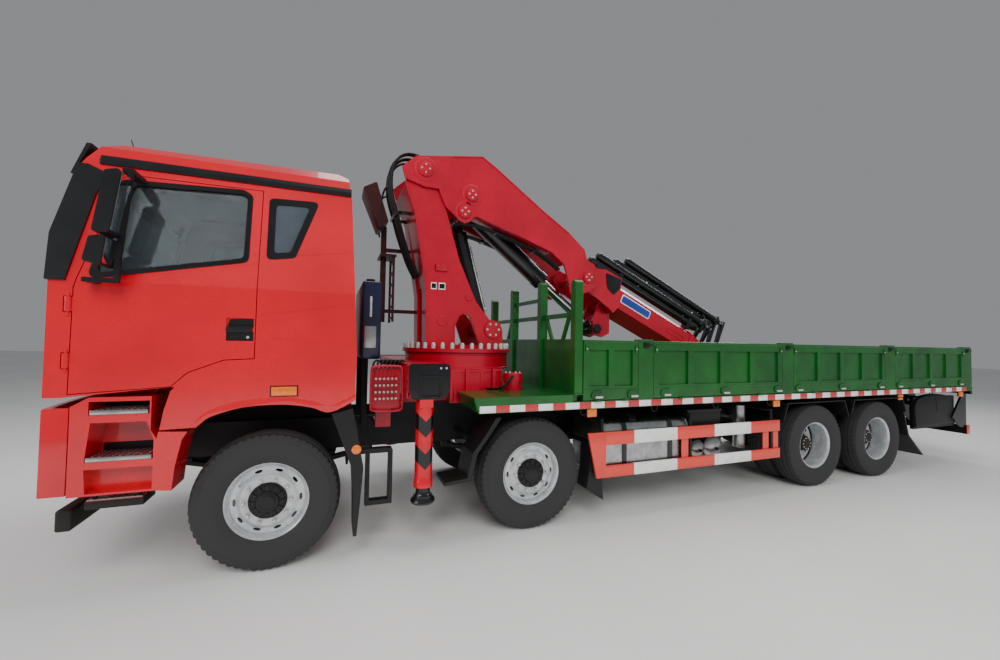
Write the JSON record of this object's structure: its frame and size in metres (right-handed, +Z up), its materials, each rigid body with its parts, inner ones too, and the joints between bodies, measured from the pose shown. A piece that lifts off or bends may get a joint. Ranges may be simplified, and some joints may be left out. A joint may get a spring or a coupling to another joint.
{
  "type": "truck-mounted knuckle-boom mobile crane",
  "caption": "Cab-over drop-side lorry with a folding, telescoping crane between cab and bed, on steered front and twin rear wheels.",
  "frame": {"origin": "middle of the vehicle's length and width, on the ground", "axes": "+X to the rear along the vehicle, +Y to its right-hand side, +Z up"},
  "size_m": [11.8, 3.06, 3.9427],
  "materials": {
    "cab_red": "gloss",
    "crane_red": "gloss",
    "bed_green": "gloss",
    "frame_black": "satin",
    "plastic_black": "matte",
    "guard_red": "gloss",
    "tank_metal": "satin",
    "engine_iron": "matte",
    "tyre_rubber": "matte",
    "glass_dark": "gloss",
    "seat_fabric": "matte",
    "cylinder_black": "satin",
    "rod_chrome": "polished"
  },
  "bodies": {
    "chassis": {"chassis_frame": "frame_black", "axles": "frame_black", "engine": "engine_iron", "bumper": "cab_red", "steps": "cab_red", "mudguards": "plastic_black", "tanks": "tank_metal", "side_guards": "guard_red", "bed_deck": "bed_green", "bed_posts": "bed_green", "crane_base": "crane_red", "valve_bank": "crane_red"},
    "cab": {"cab_shell": "cab_red", "cab_glass": "glass_dark", "cab_interior": "seat_fabric", "cab_trim": "plastic_black"},
    "door_left": {"door_left": "cab_red", "door_glass_left": "glass_dark", "mirrors_left": "plastic_black"},
    "door_right": {"door_right": "cab_red", "door_glass_right": "glass_dark", "mirrors_right": "plastic_black"},
    "knuckle_1_left": {"knuckle_1_left": "frame_black"},
    "knuckle_1_right": {"knuckle_1_right": "frame_black"},
    "knuckle_2_left": {"knuckle_2_left": "frame_black"},
    "knuckle_2_right": {"knuckle_2_right": "frame_black"},
    "wheel_1_left": {"wheel_1_left": "tyre_rubber"},
    "wheel_1_right": {"wheel_1_right": "tyre_rubber"},
    "wheel_2_left": {"wheel_2_left": "tyre_rubber"},
    "wheel_2_right": {"wheel_2_right": "tyre_rubber"},
    "wheel_3_left": {"wheel_3_left": "tyre_rubber"},
    "wheel_3_right": {"wheel_3_right": "tyre_rubber"},
    "wheel_4_left": {"wheel_4_left": "tyre_rubber"},
    "wheel_4_right": {"wheel_4_right": "tyre_rubber"},
    "dropside_1_left": {"dropside_1_left": "bed_green"},
    "dropside_1_right": {"dropside_1_right": "bed_green"},
    "dropside_2_left": {"dropside_2_left": "bed_green"},
    "dropside_2_right": {"dropside_2_right": "bed_green"},
    "dropside_3_left": {"dropside_3_left": "bed_green"},
    "dropside_3_right": {"dropside_3_right": "bed_green"},
    "dropside_4_left": {"dropside_4_left": "bed_green"},
    "dropside_4_right": {"dropside_4_right": "bed_green"},
    "tailgate": {"tailgate": "bed_green"},
    "outrigger_left": {"outrigger_left": "crane_red"},
    "jack_left": {"jack_left": "crane_red"},
    "outrigger_right": {"outrigger_right": "crane_red"},
    "jack_right": {"jack_right": "crane_red"},
    "column": {"crane_column": "crane_red", "operator_seat": "plastic_black"},
    "inner_boom": {"inner_boom": "crane_red"},
    "lift_barrel": {"lift_barrel": "cylinder_black"},
    "lift_rod": {"lift_rod": "rod_chrome"},
    "fold_barrel": {"fold_barrel": "cylinder_black"},
    "fold_rod": {"fold_rod": "rod_chrome"},
    "outer_boom": {"outer_boom": "crane_red", "extension_ram": "cylinder_black"},
    "section_1": {"section_1": "crane_red"},
    "section_2": {"section_2": "crane_red"},
    "section_3": {"section_3": "crane_red"},
    "section_4": {"section_4": "crane_red"}
  },
  "joints": [
    {"name": "cab_tilt", "type": "hinge", "parent": "chassis", "child": "cab", "pos_m": [-5.75, 0, 1.2], "axis": [0, -1, 0], "range_deg": [0, 50]},
    {"name": "door_left_hinge", "type": "hinge", "parent": "cab", "child": "door_left", "pos_m": [-5.665, -1.24, 1.8], "axis": [0, 0, -1], "range_deg": [0, 70]},
    {"name": "door_right_hinge", "type": "hinge", "parent": "cab", "child": "door_right", "pos_m": [-5.665, 1.24, 1.8], "axis": [0, 0, 1], "range_deg": [0, 70]},
    {"name": "steer_1_left", "type": "hinge", "parent": "chassis", "child": "knuckle_1_left", "pos_m": [-4.45, -0.86, 0.54], "axis": [0, 0, 1], "range_deg": [-34, 34]},
    {"name": "steer_1_right", "type": "hinge", "parent": "chassis", "child": "knuckle_1_right", "pos_m": [-4.45, 0.86, 0.54], "axis": [0, 0, 1], "range_deg": [-34, 34]},
    {"name": "steer_2_left", "type": "hinge", "parent": "chassis", "child": "knuckle_2_left", "pos_m": [-2.15, -0.86, 0.54], "axis": [0, 0, 1], "range_deg": [-24, 24]},
    {"name": "steer_2_right", "type": "hinge", "parent": "chassis", "child": "knuckle_2_right", "pos_m": [-2.15, 0.86, 0.54], "axis": [0, 0, 1], "range_deg": [-24, 24]},
    {"name": "wheel_1_left_spin", "type": "hinge", "parent": "knuckle_1_left", "child": "wheel_1_left", "pos_m": [-4.45, -1.02, 0.54], "axis": [0, 1, 0], "continuous": true},
    {"name": "wheel_1_right_spin", "type": "hinge", "parent": "knuckle_1_right", "child": "wheel_1_right", "pos_m": [-4.45, 1.02, 0.54], "axis": [0, 1, 0], "continuous": true},
    {"name": "wheel_2_left_spin", "type": "hinge", "parent": "knuckle_2_left", "child": "wheel_2_left", "pos_m": [-2.15, -1.02, 0.54], "axis": [0, 1, 0], "continuous": true},
    {"name": "wheel_2_right_spin", "type": "hinge", "parent": "knuckle_2_right", "child": "wheel_2_right", "pos_m": [-2.15, 1.02, 0.54], "axis": [0, 1, 0], "continuous": true},
    {"name": "wheel_3_left_spin", "type": "hinge", "parent": "chassis", "child": "wheel_3_left", "pos_m": [1.97, -0.915, 0.54], "axis": [0, 1, 0], "continuous": true},
    {"name": "wheel_3_right_spin", "type": "hinge", "parent": "chassis", "child": "wheel_3_right", "pos_m": [1.97, 0.915, 0.54], "axis": [0, 1, 0], "continuous": true},
    {"name": "wheel_4_left_spin", "type": "hinge", "parent": "chassis", "child": "wheel_4_left", "pos_m": [3.32, -0.915, 0.54], "axis": [0, 1, 0], "continuous": true},
    {"name": "wheel_4_right_spin", "type": "hinge", "parent": "chassis", "child": "wheel_4_right", "pos_m": [3.32, 0.915, 0.54], "axis": [0, 1, 0], "continuous": true},
    {"name": "dropside_1_left_hinge", "type": "hinge", "parent": "chassis", "child": "dropside_1_left", "pos_m": [-1.635, -1.252, 1.245], "axis": [1, 0, 0], "range_deg": [0, 180]},
    {"name": "dropside_1_right_hinge", "type": "hinge", "parent": "chassis", "child": "dropside_1_right", "pos_m": [-1.635, 1.252, 1.245], "axis": [-1, 0, 0], "range_deg": [0, 180]},
    {"name": "dropside_2_left_hinge", "type": "hinge", "parent": "chassis", "child": "dropside_2_left", "pos_m": [-0.745, -1.252, 1.245], "axis": [1, 0, 0], "range_deg": [0, 180]},
    {"name": "dropside_2_right_hinge", "type": "hinge", "parent": "chassis", "child": "dropside_2_right", "pos_m": [-0.745, 1.252, 1.245], "axis": [-1, 0, 0], "range_deg": [0, 180]},
    {"name": "dropside_3_left_hinge", "type": "hinge", "parent": "chassis", "child": "dropside_3_left", "pos_m": [1.493, -1.252, 1.245], "axis": [1, 0, 0], "range_deg": [0, 180]},
    {"name": "dropside_3_right_hinge", "type": "hinge", "parent": "chassis", "child": "dropside_3_right", "pos_m": [1.493, 1.252, 1.245], "axis": [-1, 0, 0], "range_deg": [0, 180]},
    {"name": "dropside_4_left_hinge", "type": "hinge", "parent": "chassis", "child": "dropside_4_left", "pos_m": [3.692, -1.252, 1.245], "axis": [1, 0, 0], "range_deg": [0, 180]},
    {"name": "dropside_4_right_hinge", "type": "hinge", "parent": "chassis", "child": "dropside_4_right", "pos_m": [3.692, 1.252, 1.245], "axis": [-1, 0, 0], "range_deg": [0, 180]},
    {"name": "tailgate_hinge", "type": "hinge", "parent": "chassis", "child": "tailgate", "pos_m": [5.862, 0, 1.245], "axis": [0, 1, 0], "range_deg": [0, 180]},
    {"name": "outrigger_left_slide", "type": "slide", "parent": "chassis", "child": "outrigger_left", "axis": [0, -1, 0], "range_m": [0, 0.9]},
    {"name": "jack_left_slide", "type": "slide", "parent": "outrigger_left", "child": "jack_left", "axis": [0, 0, -1], "range_m": [0, 0.385]},
    {"name": "outrigger_right_slide", "type": "slide", "parent": "chassis", "child": "outrigger_right", "axis": [0, 1, 0], "range_m": [0, 0.9]},
    {"name": "jack_right_slide", "type": "slide", "parent": "outrigger_right", "child": "jack_right", "axis": [0, 0, -1], "range_m": [0, 0.385]},
    {"name": "slew", "type": "hinge", "parent": "chassis", "child": "column", "pos_m": [-2.62, 0, 1.7], "axis": [0, 0, 1], "range_deg": [-200, 200]},
    {"name": "boom_lift", "type": "hinge", "parent": "column", "child": "inner_boom", "pos_m": [-3.12, 0, 3.69], "axis": [0, -1, 0], "range_deg": [0, 100]},
    {"name": "knuckle", "type": "hinge", "parent": "inner_boom", "child": "outer_boom", "pos_m": [-1.05, 0, 2.66], "axis": [0, -1, 0], "range_deg": [-95, 10]},
    {"name": "lift_barrel_hinge", "type": "hinge", "parent": "column", "child": "lift_barrel", "pos_m": [-2.3, 0, 1.97], "axis": [0, -1, 0], "range_deg": [-12, 6]},
    {"name": "lift_rod_slide", "type": "slide", "parent": "lift_barrel", "child": "lift_rod", "axis": [-0.2718, 0, 0.9624], "range_m": [0, 0.94]},
    {"name": "fold_barrel_hinge", "type": "hinge", "parent": "inner_boom", "child": "fold_barrel", "pos_m": [-2.59, 0, 3.48], "axis": [0, -1, 0], "range_deg": [-16, 3]},
    {"name": "fold_rod_slide", "type": "slide", "parent": "fold_barrel", "child": "fold_rod", "axis": [0.7854, 0, -0.619], "range_m": [-0.73, 0.04]},
    {"name": "section_1_slide", "type": "slide", "parent": "outer_boom", "child": "section_1", "axis": [0.9063, 0, -0.4226], "range_m": [0, 1.2]},
    {"name": "section_2_slide", "type": "slide", "parent": "section_1", "child": "section_2", "axis": [0.9063, 0, -0.4226], "range_m": [0, 1.2]},
    {"name": "section_3_slide", "type": "slide", "parent": "section_2", "child": "section_3", "axis": [0.9063, 0, -0.4226], "range_m": [0, 1.2]},
    {"name": "section_4_slide", "type": "slide", "parent": "section_3", "child": "section_4", "axis": [0.9063, 0, -0.4226], "range_m": [0, 1.2]}
  ],
  "couplings": [
    {"joint": "steer_1_right", "follows": "steer_1_left", "ratio": 1},
    {"joint": "steer_2_left", "follows": "steer_1_left", "ratio": 0.7},
    {"joint": "steer_2_right", "follows": "steer_1_left", "ratio": 0.7},
    {"joint": "slew", "follows": "boom_lift", "ratio": 0.6},
    {"joint": "knuckle", "follows": "boom_lift", "ratio": -0.75},
    {"joint": "lift_barrel_hinge", "follows": "boom_lift", "ratio": -0.032958},
    {"joint": "lift_rod_slide", "follows": "boom_lift", "m_per_rad": 0.53122},
    {"joint": "fold_barrel_hinge", "follows": "boom_lift", "ratio": -0.13353},
    {"joint": "fold_rod_slide", "follows": "boom_lift", "m_per_rad": -0.41158},
    {"joint": "section_1_slide", "follows": "boom_lift", "m_per_rad": 0.68182},
    {"joint": "section_2_slide", "follows": "boom_lift", "m_per_rad": 0.68182},
    {"joint": "section_3_slide", "follows": "boom_lift", "m_per_rad": 0.68182},
    {"joint": "section_4_slide", "follows": "boom_lift", "m_per_rad": 0.68182}
  ]
}
